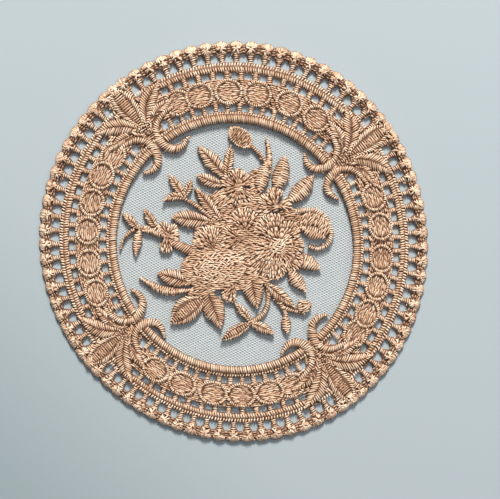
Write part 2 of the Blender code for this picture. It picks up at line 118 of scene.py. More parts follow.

# %% [markdown]
# ## Finishes
# Lace thread is glossy rayon: two fine plies twisted together, a warm rose beige. Shade is painted darker
# into the hollows between stitches and the twist's grooves, and the palest tones are a painted highlight.
# Each stitch takes its own slight tone, and the twist is a fine bump along it.
# Shader maths is written as plain sums on a wrapped socket, which keeps the recipes short.


# %% A wrapped socket
class Wire:
    """A socket of a material, with the sums that the finishes use."""

    def __init__(self, tree, socket=None):
        self.tree, self.socket = tree, socket

    def add(self, kind, settings=None, sockets=None, out=0):
        """A node of any type: its settings first, then the values or links of its sockets."""
        node = self.tree.nodes.new(kind)
        for name, value in (settings or {}).items():
            setattr(node, name, value)
        for name, value in (sockets or {}).items():
            if isinstance(value, Wire):
                self.tree.links.new(value.socket, node.inputs[name])
            else:
                node.inputs[name].default_value = value
        return Wire(self.tree, node.outputs[out])

    def maths(self, operation, first, second):
        return self.add("ShaderNodeMath", {"operation": operation}, {0: first, 1: second})

    def __add__(self, other):
        return self.maths("ADD", self, other)

    def __sub__(self, other):
        return self.maths("SUBTRACT", self, other)

    def __rsub__(self, other):
        return self.maths("SUBTRACT", other, self)

    def __mul__(self, other):
        return self.maths("MULTIPLY", self, other)

    __radd__, __rmul__ = __add__, __mul__

    def clamped(self):
        return self.add("ShaderNodeClamp", None, {"Value": self})

    def place(self):
        """The object's own space, in metres."""
        return self.add("ShaderNodeTexCoord", out=3)

    def wave(self, kind):
        return self.add("ShaderNodeMath", {"operation": kind}, {0: self})

    def part(self, place):
        """One number of a vector: 0, 1 or 2."""
        return self.add("ShaderNodeSeparateXYZ", None, {0: self}, place)

    def noise(self, scale, detail=2.0):
        """A smooth cloud of values over the object's own space, from 0 to 1."""
        return self.add("ShaderNodeTexNoise", None, {"Vector": self, "Scale": scale, "Detail": detail})

    def blend(self, low, high):
        """The colour between two, by this share."""
        mixed = self.add("ShaderNodeMix", {"data_type": "RGBA"}, {0: self}, 2)
        for place, colour in ((6, low), (7, high)):
            if isinstance(colour, Wire):
                self.tree.links.new(colour.socket, mixed.socket.node.inputs[place])
            else:
                mixed.socket.node.inputs[place].default_value = (*colour, 1.0)
        return mixed


def new_finish(name, roughness, sheen=0.0):
    """A new material, its shader and a wire to build on."""
    material = bpy.data.materials.new(name)
    material.use_nodes = True
    shader = material.node_tree.nodes["Principled BSDF"]
    shader.inputs["Roughness"].default_value = roughness
    shader.inputs["Sheen Weight"].default_value = sheen
    return material, shader, Wire(material.node_tree)


def feed(shader, name, wire):
    wire.tree.links.new(wire.socket, shader.inputs[name])


def bumped(shader, height, strength, distance):
    """Let a height stand out of the surface by a distance in millimetres."""
    settings = {"Height": height, "Strength": strength, "Distance": distance * MM}
    feed(shader, "Normal", height.add("ShaderNodeBump", None, settings))


# %% Rose thread
# Painted light: the two darkest colours are painted shade for hollows and low stitch ends, and the palest is
# a painted highlight.
PAINTED_HOLLOW_SHADE, SHADE = (0.19, 0.08, 0.042), (0.67, 0.40, 0.245)
THREAD_COLOUR, SHINE = (0.98, 0.715, 0.505), (1.0, 0.92, 0.76)
# The twist's share of the tone paints shade into the ply grooves.
TWIST_PITCH, TWIST_BUMP, TWIST_DEPTH, TWIST_PAINTED_SHADE = 0.34, 0.25, 0.06, 0.05
THREAD_DRIFT, DRIFT_TONE = 110.0, 0.35
THREAD_ROUGHNESS, THREAD_SHEEN = 0.46, 0.15
LOW_GAIN, MIDDLE_GAIN, HIGH_GAIN, MIDDLE_START, HIGH_START = 2.0, 3.0, 2.4, 1.2, 1.4


def thread_finish():
    """Twisted rayon: tone by stitch, painted shade and highlight along it and in the ply grooves, a ply bump,
    and faint drifts of colour.
    """
    material, shader, wire = new_finish("rose_thread", THREAD_ROUGHNESS, THREAD_SHEEN)
    tone = wire.add("ShaderNodeAttribute", {"attribute_name": "tone"}, out=2)
    laid = wire.add("ShaderNodeAttribute", {"attribute_name": "lay"}, out=1)
    turn = laid.part(0) * (2 * math.pi / TWIST_PITCH)
    ply = turn.wave("SINE") * laid.part(1) + turn.wave("COSINE") * laid.part(2)
    drift = wire.place().noise(THREAD_DRIFT)
    tone = (tone + (drift - 0.5) * DRIFT_TONE + ply * TWIST_PAINTED_SHADE).clamped()
    # Low tones blend into painted shade, high tones into a painted highlight.
    low = (tone * LOW_GAIN).clamped().blend(PAINTED_HOLLOW_SHADE, SHADE)
    middle = (tone * MIDDLE_GAIN - MIDDLE_START).clamped().blend(low, THREAD_COLOUR)
    feed(shader, "Base Color", (tone * HIGH_GAIN - HIGH_START).clamped().blend(middle, SHINE))
    bumped(shader, ply, TWIST_BUMP, TWIST_DEPTH)
    return material


rose_thread = thread_finish()


# %% The hollow between stitches, in painted shade
# Both ground colours are painted shade, the dark of the deep hollows under the top stitches.
GROUND_ROUGHNESS, GROUND_SHADE_DARK, GROUND_SHADE_PALE = 0.7, (0.085, 0.038, 0.022), (0.27, 0.14, 0.082)
GROUND_DRIFT, FIBRES, FIBRE_BUMP, FIBRE_DEPTH = 900.0, 1500.0, 0.6, 0.15


def shaded_ground_finish():
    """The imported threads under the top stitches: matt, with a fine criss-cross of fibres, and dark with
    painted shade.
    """
    material, shader, wire = new_finish("shaded_thread_ground", GROUND_ROUGHNESS)
    place = wire.place()
    feed(shader, "Base Color", place.noise(GROUND_DRIFT, detail=3.0).blend(GROUND_SHADE_DARK, GROUND_SHADE_PALE))
    fibres = wire.add("ShaderNodeTexVoronoi", None, {"Vector": place, "Scale": FIBRES})
    bumped(shader, fibres, FIBRE_BUMP, FIBRE_DEPTH)
    return material


shaded_thread_ground = shaded_ground_finish()


# %% Net and table
NET_ROUGHNESS, NET_DRIFT, NET_DULL, NET_PALE = 0.55, 220.0, (0.59, 0.62, 0.62), (0.73, 0.755, 0.755)
TABLE_SIZE, TABLE_ROUGHNESS, TABLE_DRIFT = 3.0, 0.8, 6.0
# The deepest table colour is painted shade.
TABLE_DULL, TABLE_PALE, TABLE_SHADE = (0.44, 0.51, 0.55), (0.47, 0.54, 0.575), (0.32, 0.39, 0.415)
SHADE_SIDE, SHADE_FROM, SHADE_OVER = (-0.7071, -0.7071, 0.0), 0.03, 0.09


def net_finish():
    """Fine pale nylon net, slightly cool, a little uneven from strand to strand."""
    material, shader, wire = new_finish("pale_net", NET_ROUGHNESS)
    feed(shader, "Base Color", wire.place().noise(NET_DRIFT).blend(NET_DULL, NET_PALE))
    return material


def table_finish():
    """A pale blue-grey board with a hardly seen cloudiness, and painted shade that darkens it towards one
    side.
    """
    material, shader, wire = new_finish("pale_table", TABLE_ROUGHNESS)
    place = wire.place()
    board = place.noise(TABLE_DRIFT).blend(TABLE_DULL, TABLE_PALE)
    # Painted shade: the board darkens smoothly towards one side.
    side = wire.add("ShaderNodeVectorMath", {"operation": "DOT_PRODUCT"}, {0: place, 1: SHADE_SIDE}, 1)
    share = ((side - SHADE_FROM) * (1 / SHADE_OVER)).clamped()
    feed(shader, "Base Color", (share * share * (3.0 - share * 2.0)).blend(board, TABLE_SHADE))
    return material


pale_net = net_finish()
bpy.ops.mesh.primitive_plane_add(size=TABLE_SIZE)
table = bpy.context.object
table.name = "table"
table.data.materials.append(table_finish())

# %% [markdown]
# ## How a stitch is made
# An embroidery machine carries the thread from one needle hole to the next, and the thread stands up
# in a small arch between them. So a stitch is noted as two ends, the height of the holes and the rise
# of the arch. All the stitches of a piece then become one mesh of slim closed tubes in a single step,
# which numpy does far faster than Blender's own tools would.

# %% The thread and the dice
THREAD = 0.47
SIDES = 5
STATIONS = np.array((0.06, 0.28, 0.5, 0.72, 0.94))
FULLNESS = np.array((0.72, 0.96, 1.0, 0.96, 0.72))
ARCH = np.array((0.42, 0.9, 1.0, 0.9, 0.42))
FINE_THREAD = 0.42
# Painted shade: how much darker a stitch's low ends are, where they dip into the hollows.
END_PAINTED_SHADE = 0.24
JITTER = 0.09
BOW_SPREAD = 0.07
TONE_SPREAD = 0.15
WIDTH_SPREAD, RISE_SPREAD = (0.86, 1.08), (0.82, 1.12)
SHORTEST = 0.05
dice = random.Random(20)


def either_way(most):
    return dice.uniform(-most, most)


def mix(low, high, share):
    return low + (high - low) * share


def as_drawn(x, y):
    return x, y


# %% A piece of needlework
class Needlework:
    """Stitches noted in millimetres, then made into one mesh of closed threads."""

    def __init__(self, name, laid, clear=None):
        self.name, self.laid, self.clear, self.stitches = name, laid, clear, []

    def stitch(self, start, end, low, rise, width=THREAD, tone=0.5, bow=0.0, end_low=None, painted_end_light=0.0):
        """One stitch: its ends, the height of its holes, its rise, and how much painted light makes its far
        end paler.

        It is left out where its middle isn't clear of later work."""
        if self.clear and not self.clear((start[0] + end[0]) / 2, (start[1] + end[1]) / 2):
            return
        ax, ay = self.laid(*start)
        bx, by = self.laid(*end)
        shake = [either_way(JITTER) for _ in range(4)]
        self.stitches.append((ax + shake[0], ay + shake[1], low, bx + shake[2], by + shake[3],
                              low if end_low is None else end_low, width * dice.uniform(*WIDTH_SPREAD),
                              rise * dice.uniform(*RISE_SPREAD), bow + either_way(BOW_SPREAD),
                              tone + either_way(TONE_SPREAD), painted_end_light))

    def sew(self, material):
        """Make the threads and set them on the model."""
        rows = np.array(self.stitches)
        start, end = rows[:, 0:3], rows[:, 3:6]
        width, rise, bow, tone, painted_end_light = rows[:, 6:11].T
        run = end - start
        length = np.maximum(np.hypot(run[:, 0], run[:, 1]), SHORTEST)
        side = np.stack((-run[:, 1] / length, run[:, 0] / length, np.zeros(len(rows))), 1)
        up = np.array((0.0, 0.0, 1.0))

        share = STATIONS[None, :, None]
        path = start[:, None] + run[:, None] * share
        path = path + side[:, None] * (bow[:, None, None] * 4 * share * (1 - share))
        path = path + up * (rise[:, None] * ARCH)[:, :, None]
        angle = 2 * math.pi * np.arange(SIDES) / SIDES + math.pi / 2
        radius = (width[:, None] / 2 * FULLNESS)[:, :, None, None]
        rings = path[:, :, None] + radius * (side[:, None, None] * np.cos(angle)[:, None]
                                             + up * np.sin(angle)[:, None])
        tips = np.stack((start, end), 1)
        count, stations = len(rows), len(STATIONS)
        points = np.concatenate((rings.reshape(count, -1, 3), tips), 1)
        each = points.shape[1]

        spots = np.arange(stations * SIDES).reshape(stations, SIDES)
        after = np.roll(spots, -1, 1)
        walls = np.stack((spots[:-1], after[:-1], after[1:], spots[1:]), -1).reshape(-1, 4)
        first_tip = np.full(SIDES, stations * SIDES)
        caps = np.concatenate((np.stack((first_tip, after[0], spots[0]), -1),
                               np.stack((first_tip + 1, spots[-1], after[-1]), -1)))
        offsets = np.arange(count)[:, None, None] * each
        quads = (walls + offsets).reshape(-1, 4)
        ends = (caps + offsets).reshape(-1, 3)

        places = points.reshape(-1, 3) * MM + np.array((CENTRE.x, CENTRE.y, 0.0))
        mesh = bpy.data.meshes.new(self.name)
        mesh.from_pydata(places, [], quads.tolist() + ends.tolist())
        mesh.shade_smooth()
        along = np.repeat(length[:, None] * STATIONS, SIDES, 1)
        along = np.concatenate((along, np.zeros((count, 1)), length[:, None]), 1)
        cos = np.concatenate((np.tile(np.cos(angle), stations), (0, 0)))
        sin = np.concatenate((np.tile(np.sin(angle), stations), (0, 0)))
        lay = np.stack((along, np.tile(cos, (count, 1)), np.tile(sin, (count, 1))), 2)
        # The low ends of every stitch are darkened as painted shade.
        shade = tone[:, None] - END_PAINTED_SHADE * np.concatenate((1 - np.repeat(ARCH, SIDES), (1, 1)))
        # Painted light and shade along the stitch: its far end paler, or darker where the share is below
        # zero.
        shade += painted_end_light[:, None] * (np.concatenate((np.repeat(STATIONS, SIDES), (0, 1))) - 0.5)
        mesh.attributes.new("lay", "FLOAT_VECTOR", "POINT").data.foreach_set("vector", lay.ravel())
        mesh.attributes.new("tone", "FLOAT", "POINT").data.foreach_set("value", shade.ravel())
        mesh.materials.append(material)
        piece = bpy.data.objects.new(self.name, mesh)
        bpy.context.collection.objects.link(piece)
        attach(piece, "root")
        print(f"{self.name}: {count} stitches, {2 * len(quads) + len(ends)} triangles")


# %% [markdown]
# ## The round pattern
# The rim repeats round the coaster: four leaf sprays, and between them quarters of twenty-one small
# repeats. The cloth isn't a perfect round, so every stitch of the rim goes through one function that
# lays the round pattern down slightly oval, as the real one lies.

# %% Headings and how the cloth lies
SPRAYS = ((129.0, (0.0, 0.0)), (36.6, (0.0, 0.0)), (-53.4, (0.7, 0.0)), (-140.1, (0.0, 0.8)))
QUARTERS = ((129.0, 36.6), (129.0, 219.9), (-53.4, 36.6), (-53.4, -140.1))
REPEATS = 21
SHORT_REPEAT = 3.45
OVAL, OVAL_HEADING, THREE_LOBES = 0.0188, 108.3, 0.007
LOBES_FROM, OUTER_EDGE = 38.5, 60.0


def polar(radius, heading):
    """The point at a radius and a heading in degrees."""
    turn = math.radians(heading)
    return radius * math.cos(turn), radius * math.sin(turn)


def lie(x, y):
    """Where a point of the round pattern lies on the table."""
    radius = math.hypot(x, y)
    heading = math.atan2(y, x)
    rim_share = max(0.0, (radius - LOBES_FROM) / (OUTER_EDGE - LOBES_FROM))
    stretch = 1 + OVAL * math.cos(2 * (heading - math.radians(OVAL_HEADING)))
    stretch -= THREE_LOBES * rim_share * math.cos(3 * heading)
    stretch -= mix(RING_DROP, EDGE_DROP, rim_share) * math.sin(heading) / radius
    return x * stretch, y * stretch


def repeat_at(quarter, repeat):
    """Heading at a number of repeats of the edging from the first spray of a quarter."""
    start, end = quarter
    pitch = (abs(end - start) - 2 * SHORT_REPEAT) / (REPEATS - 2)
    whole = min(max(repeat - 1, 0), REPEATS - 2)
    turn = whole * pitch + (repeat - whole) * SHORT_REPEAT
    return start + math.copysign(1, end - start) * turn


def turned(point, heading):
    """A point of a motif's own axes, across and outwards, set at a heading."""
    across, out = point
    cos, sin = math.cos(math.radians(heading)), math.sin(math.radians(heading))
    return out * cos + across * sin, out * sin - across * cos


def inside(x, y, loop):
    """Whether a point lies inside a closed loop."""
    found = False
    for (ax, ay), (bx, by) in zip(loop, loop[1:] + loop[:1]):
        if (ay > y) != (by > y) and x < ax + (y - ay) * (bx - ax) / (by - ay):
            found = not found
    return found


def loop_test(loops):
    """A test of whether a point lies in any of the loops, which asks only those near it."""
    boxes = []
    for loop in loops:
        across, up = [x for x, _ in loop], [y for _, y in loop]
        boxes.append((min(across), max(across), min(up), max(up), loop))

    def test(x, y):
        return any(left < x < right and low < y < high and inside(x, y, loop)
                   for left, right, low, high, loop in boxes)
    return test


# %% [markdown]
# ## Forms that are filled with stitches
# Leaves, ribbons, petals and round beds are the same few forms all over the lace. Each knows its own
# outline, so that no stitch is sewn where a later form will lie on it, and how its stitches run:
# from the rib to the edge in a veined leaf, straight across in satin, and like a fan in a petal.

# %% Stitch spacing and heights
PITCH = 0.70
RIB_GAP = -0.06
LEAN = 0.42
BORDER_FROM = 0.56
RAGGED = 0.26
# Painted light: how much paler an edge stitch's far end is; below zero it is painted shade.
EDGE_PAINTED_LIGHT = 0.30
LEAF_STEPS, LEAF_FULLNESS = 8, 0.8
VEIN_STAGGER, VEIN_END, VEIN_LEAD, VEIN_TIP = 0.25, 0.97, 0.4, 0.992
VEIN_FOOT, VEIN_RISE = 0.36, 0.68
LEAST_EDGE, LEAST_SATIN = 0.1, 0.15
INNER_FOOT, INNER_RISE, INNER_TONE = 0.3, 0.35, -0.08
BORDER_START, BORDER_LEAD, BORDER_TIP = 0.9, 0.3, 0.995
BORDER_FOOT, BORDER_RISE, BORDER_TONE = 0.35, 0.55, 0.08
NARROW, BANKS_MEET, MEET_SPREAD, SATIN_LEAD = 1.0, 0.45, 0.15, 0.4
SATIN_LEAST_RISE, SATIN_FULL_WIDTH = 0.35, 4


# %% A leaf
class Leaf:
    """A pointed leaf, worked in two banks from its rib or straight across."""

    def __init__(self, base, tip, width, bend, belly):
        self.base, self.tip = Vector(base), Vector(tip)
        self.run = self.tip - self.base
        self.side = Vector((-self.run.y, self.run.x)).normalized()
        self.width, self.bend = width, bend
        self.power = math.log(0.5) / math.log(belly)

    def middle(self, share):
        return self.base + self.run * share + self.side * self.bend * 4 * share * (1 - share)

    def at(self, share, off):
        """A point at a share of the length, off the rib by a distance."""
        return self.middle(share) + self.side * off

    def ragged(self, share, least=LEAST_EDGE):
        """Half the width of a sewn edge, which is never quite even."""
        return max(self.half(share), least) + dice.uniform(-RAGGED, RAGGED / 2)

    def half(self, share):
        share = min(max(share, 0.0), 1.0)
        return self.width / 2 * math.sin(math.pi * share ** self.power) ** LEAF_FULLNESS

    def outline(self):
        shares = [step / LEAF_STEPS for step in range(1, LEAF_STEPS)]
        left = [self.at(share, self.half(share)) for share in shares]
        right = [self.at(share, -self.half(share)) for share in reversed(shares)]
        return [tuple(point) for point in (self.base, *left, self.tip, *right)]

    def veined(self, work, low, rise, tone):
        """Two banks of stitches that slant forwards from the rib, ragged at the edge."""
        length = self.run.length
        count = round(length / PITCH)
        for sign in (1, -1):
            for place in range(count):
                share = (place + 0.5 + VEIN_STAGGER * sign) / count * VEIN_END
                half = self.half(share)
                reach = min(share + (LEAN * half + VEIN_LEAD) / length, VEIN_TIP)
                start, end = self.at(share, sign * RIB_GAP), self.at(reach, sign * self.ragged(reach))
                work.stitch(start, end, low + rise * VEIN_FOOT, rise * VEIN_RISE, tone=tone,
                            end_low=low, painted_end_light=EDGE_PAINTED_LIGHT)

    def bordered(self, work, low, rise, tone):
        """A band of short stitches along each edge, and straight ones across between them."""
        length = self.run.length
        count = round(length / PITCH)
        for place in range(count):
            share = (place + 0.5) / count
            inner = self.half(share) * BORDER_FROM
            start, end = (self.at(share, inner * sign) for sign in (-1, 1))
            if inner > THREAD:
                work.stitch(start, end, low + rise * INNER_FOOT, INNER_RISE, tone=tone + INNER_TONE)
            for sign in (1, -1):
                reach = min(share + (LEAN * inner + BORDER_LEAD) / length, BORDER_TIP)
                start = self.at(share, sign * inner * BORDER_START)
                end = self.at(reach, sign * self.ragged(reach))
                work.stitch(start, end, low + rise * BORDER_FOOT, rise * BORDER_RISE,
                            tone=tone + BORDER_TONE, end_low=low, painted_end_light=EDGE_PAINTED_LIGHT)

    def satin(self, work, low, rise, tone):
        """Stitches from each edge in turn to just past the middle, so that the two banks lock."""
        length = self.run.length
        count = round(2 * length / PITCH)
        for place in range(count):
            sign = 1 - 2 * (place % 2)
            share = (place + 0.5) / count
            reach = min(share + SATIN_LEAD / length, 1.0)
            edge = self.ragged(share, LEAST_SATIN)
            past = 1.0 if edge < NARROW else BANKS_MEET + either_way(MEET_SPREAD)
            past *= self.half(reach)
            start, end = self.at(reach, -sign * past), self.at(share, sign * edge)
            full = min(1.0, SATIN_LEAST_RISE + (end - start).length / SATIN_FULL_WIDTH)
            work.stitch(start, end, low, rise * full, tone=tone, painted_end_light=EDGE_PAINTED_LIGHT / 2)


# %% A ribbon
CURVE_STEPS, OUTLINE_STEP = 12, 1.2
WRAP_PITCH, WRAP_SLANT, WRAP_LEAST_RISE = 0.95, 0.35, 0.4


class Ribbon:
    """A stem or ribbon of changing width through a few points, wound with slanting stitches."""

    def __init__(self, route, widths):
        self.route = [Vector(point) for point in route]
        count = len(route) - 1
        if len(widths) == 2:
            widths = [mix(*widths, place / count) for place in range(count + 1)]
        self.widths = list(widths)

    def samples(self, pitch):
        """Point, direction and width at even steps along a smooth curve through the points."""
        line = [self.route[0] * 2 - self.route[1], *self.route, self.route[-1] * 2 - self.route[-2]]
        dense = []
        for place in range(1, len(line) - 2):
            a, b, c, d = line[place - 1:place + 3]
            for step in range(CURVE_STEPS):
                t = step / CURVE_STEPS
                point = (b * 2 + (c - a) * t + (a * 2 - b * 5 + c * 4 - d) * t ** 2
                         + (b * 3 - a - c * 3 + d) * t ** 3) / 2
                dense.append((point, mix(self.widths[place - 1], self.widths[place], t)))
        dense.append((line[-2], self.widths[-1]))
        found, travelled = [], pitch / 2
        for (here, width), (there, after) in zip(dense, dense[1:]):
            step = (there - here).length
            while travelled < step:
                share = travelled / step
                found.append((here.lerp(there, share), (there - here).normalized(), mix(width, after, share)))
                travelled += pitch
            travelled -= step
        return found

    def outline(self):
        rows = self.samples(OUTLINE_STEP)
        left = [point + Vector((-run.y, run.x)) * width / 2 for point, run, width in rows]
        right = [point - Vector((-run.y, run.x)) * width / 2 for point, run, width in reversed(rows)]
        return [tuple(point) for point in left + right]

    def satin(self, work, low, rise, tone):
        """Slanting stitches from edge to edge, higher where the ribbon is wide."""
        for point, run, width in self.samples(PITCH * WRAP_PITCH):
            across = Vector((-run.y, run.x)) * width / 2 + run * WRAP_SLANT * width / 2
            full = min(1.0, WRAP_LEAST_RISE + width / SATIN_FULL_WIDTH)
            work.stitch(point - across, point + across, low, rise * full, tone=tone)


# %% A petal
PETAL_STEPS, PETAL_ROUNDING = 5, 0.16
FAN_ROW, FAN_STITCH, FAN_PITCH, FAN_EDGE, FAN_TONES = 1.35, 1.9, 0.72, 1.02, (-0.42, 0.05)
FAN_STRAY, FAN_SKEW, FAN_TUCK, FAN_FOOT, FAN_CREST = 0.6, 1.5, 0.35, 0.45, 0.5
FAN_HUB, FAN_SIDES, FAN_LEAST = 0.02, 0.96, 3


class Petal:
    """A rounded petal that opens out of a hub, worked like a fan in long and short stitches."""

    def __init__(self, hub, heading, reach, spread):
        self.hub, self.heading, self.reach, self.spread = hub, heading, reach, spread

    def place(self, out, turn):
        """A point at a share of the way out, and a turn from one side, -1, to the other, 1."""
        dx, dy = polar(out * self.reach * (1 - PETAL_ROUNDING * turn * turn),
                       self.heading + turn * self.spread / 2)
        return self.hub[0] + dx, self.hub[1] + dy

    def outline(self):
        turns = [2 * step / PETAL_STEPS - 1 for step in range(PETAL_STEPS + 1)]
        return [self.hub] + [self.place(1.0, turn) for turn in turns]

    def fan(self, work, low, rise, tone):
        """Rows of short stitches that point outwards, laid over one another from the hub to the edge."""
        rows = round(self.reach / FAN_ROW)
        for row in range(rows):
            outer = FAN_EDGE * (row + 1) / rows
            inner = max(outer - FAN_STITCH / self.reach, FAN_HUB)
            foot = FAN_FOOT * math.sin(math.pi * (inner + outer) / 2)
            last = row == rows - 1
            count = max(FAN_LEAST, round(self.reach * math.radians(self.spread) * outer / FAN_PITCH))
            for place in range(count):
                turn = (2 * place + 1) / count - 1 + either_way(FAN_STRAY) / count
                tuck = either_way(FAN_TUCK) / self.reach
                skew = either_way(FAN_SKEW) / count
                start = self.place(inner + tuck, turn * FAN_SIDES)
                end = self.place(outer + tuck / 2, turn + skew)
                work.stitch(start, end, low + rise * foot, rise * FAN_CREST,
                            tone=tone + mix(*FAN_TONES, outer),
                            end_low=low if last else low + rise * foot, painted_end_light=EDGE_PAINTED_LIGHT)


# %% A round bed
EDGE_INNER, BED_REACH, EDGE_LEAN = 0.741, 0.77, 0.08
BED_ROW, BED_STITCH, BED_OVERLAP, BED_SHIFTS = 0.85, 2.4, 0.72, (0.25, -0.25, 0.05)
# The bed's share of painted light makes each stitch's far end paler.
BED_STRAY, BED_PAINTED_LIGHT, BED_DOME, BED_ARCH = 0.42, 0.25, 0.7, 0.38
OVAL_STEPS, SHORTEST_SHARE = 14, 0.15
SUNKEN, SUNKEN_STITCH, CALM_STRAY = -0.5, 3.0, 0.3
MOTTLED_STITCH, MOTTLED_STRAY = 1.7, 0.75
RINGED_LIFTS, RINGED_TONES = (0.15, 0.1), (-0.02, 0.1)
CUPPED_LIFT, CUPPED_TONES = 0.15, (-0.1, 0.14)


class Oval:
    """An oval bed, filled with rows of long and short stitches."""

    def __init__(self, middle, length, width, turn):
        self.middle, self.length, self.width, self.turn = middle, length, width, math.radians(turn)

    def place(self, x, y):
        """A point of the bed's own axes, each from -1 to 1."""
        x, y = x * self.length, y * self.width
        cos, sin = math.cos(self.turn), math.sin(self.turn)
        return self.middle[0] + x * cos - y * sin, self.middle[1] + x * sin + y * cos

    def outline(self):
        turns = [2 * math.pi * step / OVAL_STEPS for step in range(OVAL_STEPS)]
        return [self.place(math.cos(turn), math.sin(turn)) for turn in turns]

    def filled(self, work, low, rise, tone, long=BED_STITCH, stray=BED_STRAY):
        """Rows along the length, each a run of overlapping stitches, domed in the middle."""
        rows = round(2 * self.width / (PITCH * BED_ROW))
        for row in range(rows):
            y = (2 * row + 1) / rows - 1
            half = math.sqrt(max(0.0, 1 - y * y))
            count = max(1, round(2 * half * self.length / (long * BED_OVERLAP)))
            shift = BED_SHIFTS[row % len(BED_SHIFTS)]
            for place in range(count):
                x = ((2 * (place + 0.5 + shift * (count > 1)) / count) - 1) * half
                reach = long / 2 / self.length
                start, end = max(x - reach, -half), min(x + reach, half)
                if end - start < SHORTEST_SHARE:
                    continue
                dome = 1 - (x * x + y * y)
                tilt = either_way(stray) / self.width
                first, second = self.place(start, y - tilt), self.place(end, y + tilt)
                work.stitch(first, second, low + rise * BED_DOME * max(dome, 0.0), BED_ARCH, tone=tone,
                            painted_end_light=BED_PAINTED_LIGHT)

    def ringed(self, work, low, rise, tone):
        """A raised border round a sunken bed of long stitches."""
        bed = Oval(self.middle, self.length * BED_REACH, self.width * BED_REACH, math.degrees(self.turn))
        bed.filled(work, low + RINGED_LIFTS[0], SUNKEN, tone + RINGED_TONES[0], SUNKEN_STITCH, CALM_STRAY)
        self.edge(work, low + RINGED_LIFTS[1], rise, tone + RINGED_TONES[1])

    def cupped(self, work, low, rise, tone):
        """A thin bright border round a domed bed of deeper colour."""
        self.filled(work, low + CUPPED_LIFT, rise, tone + CUPPED_TONES[0], stray=CALM_STRAY)
        self.edge(work, low + CUPPED_LIFT, rise, tone + CUPPED_TONES[1])

    def mottled(self, work, low, rise, tone):
        """Short stitches at all slants, as in the heart of a rose."""
        self.filled(work, low, rise, tone, MOTTLED_STITCH, MOTTLED_STRAY)

    def edge(self, work, low, rise, tone):
        """A border of short stitches that point outwards."""
        count = round(math.pi * (self.length + self.width) / PITCH)
        for place in range(count):
            turn = 2 * math.pi * (place + 0.5) / count
            end_turn = turn + EDGE_LEAN
            start = self.place(EDGE_INNER * math.cos(turn), EDGE_INNER * math.sin(turn))
            end = self.place(math.cos(end_turn), math.sin(end_turn))
            work.stitch(start, end, low, rise, tone=tone, painted_end_light=EDGE_PAINTED_LIGHT / 2)


# %% [markdown]
# ## The rim's ground
# Under the top stitches the rim is packed thread, with the gaps that the lace has. The model's own rim
# has exactly that outline and relief, so its mesh is copied and let down a little to make room for the
# stitches, which then reach the model's height. The part over the net is set down on the net.

# %% Ground sheets from the model's own forms
LET_DOWN, TOP_FROM = 0.38, 0.5
NET_TOP, UNDERSIDE, RING_OUTER = 0.72, 1.32, 38.8
SAME_POINT = 0.000002


def ground_sheet(name, node, over_net):
    """A copy of a node's mesh, its top let down, and its foot set on the net where over_net says."""
    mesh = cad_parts[node].data.copy()
    mesh.name = name
    places = np.empty(len(mesh.vertices) * 3)
    mesh.vertices.foreach_get("co", places)
    places = places.reshape(-1, 3)
    height = places[:, 2] / MM
    foot = over_net(height, np.hypot(places[:, 0] - CENTRE.x, places[:, 1] - CENTRE.y) / MM)
    lowered = np.where(height > TOP_FROM, height - LET_DOWN, height)
    height = np.where(foot, np.minimum(height, NET_TOP), lowered)
    places[:, 2] = height * MM
    mesh.vertices.foreach_set("co", places.ravel())
    form = bmesh.new()
    form.from_mesh(mesh)
    bmesh.ops.remove_doubles(form, verts=form.verts, dist=SAME_POINT)
    form.to_mesh(mesh)
    form.free()
    mesh.materials.clear()
    mesh.materials.append(shaded_thread_ground)
    piece = bpy.data.objects.new(name, mesh)
    bpy.context.collection.objects.link(piece)
    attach(piece, "root")
    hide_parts(node)
    print(f"{name}: {len(mesh.polygons)} faces")
    return piece


rim_ground = ground_sheet("rim_ground", "lace_rim",
                          lambda height, out: (height < UNDERSIDE) & (out < RING_OUTER))
bouquet_ground = ground_sheet("bouquet_ground", "bouquet", lambda height, out: height < UNDERSIDE)

# %% [markdown]
# ## The rim's openings
# The rim has three rows of small gaps. Stitches keep out of them, so their outlines come first.

# %% Gaps
EGG_GAP = ((-1.3, 54), (1.3, 54), (1.4, 55.2), (0.6, 56.8), (-0.6, 56.8), (-1.4, 55.2))
SPRAY_GAP = ((-0.8, 52.5), (0.8, 52.5), (1.3, 54.6), (0.6, 56.8), (-0.6, 56.8), (-1.3, 54.6))
ARCH_HOLE = ((4.4, 39.9), (7.7, 39.5), (7.8, 41.2), (6.9, 42.4), (5.4, 42.4), (4.5, 41.4))
LADDER_OUTER = {"first": 0.15, "last": 0.85, "count": 14, "half": 1.2, "inner": 49.2, "outer": 51.1}
LADDER_INNER = {"first": 0.141, "last": 0.855, "count": 14, "half": 1.2, "inner": 39.9, "outer": 41.9}


def set_at(loop, heading):
    return [turned(point, heading) for point in loop]


def rim_gaps():
    """The gaps of the rim's three rows, as closed loops."""
    gaps = []
    for quarter in QUARTERS:
        for repeat in range(1, REPEATS - 1):
            gap = SPRAY_GAP if repeat in (1, REPEATS - 2) else EGG_GAP
            gaps.append(set_at(gap, repeat_at(quarter, repeat + 0.5)))
        for row in (LADDER_OUTER, LADDER_INNER):
            half, low, high = row["half"], row["inner"], row["outer"]
            rung = ((-half, low), (half, low), (half, high), (-half, high))
            for place in range(row["count"]):
                share = mix(row["first"], row["last"], place / (row["count"] - 1))
                gaps.append(set_at(rung, mix(*quarter, share)))
    for heading, _ in SPRAYS:
        for side in (1, -1):
            gaps.append(set_at([(across * side, out) for across, out in ARCH_HOLE], heading))
    return gaps


in_gap = loop_test(rim_gaps())

# %% [markdown]
# ## Leaf sprays and medallions
# Four sprays cross the rim: a middle leaf that reaches the edge, two leaves on each side, and two
# ribbon tails that curl over the ring on to the net. Between them run chains of sunken medallions.

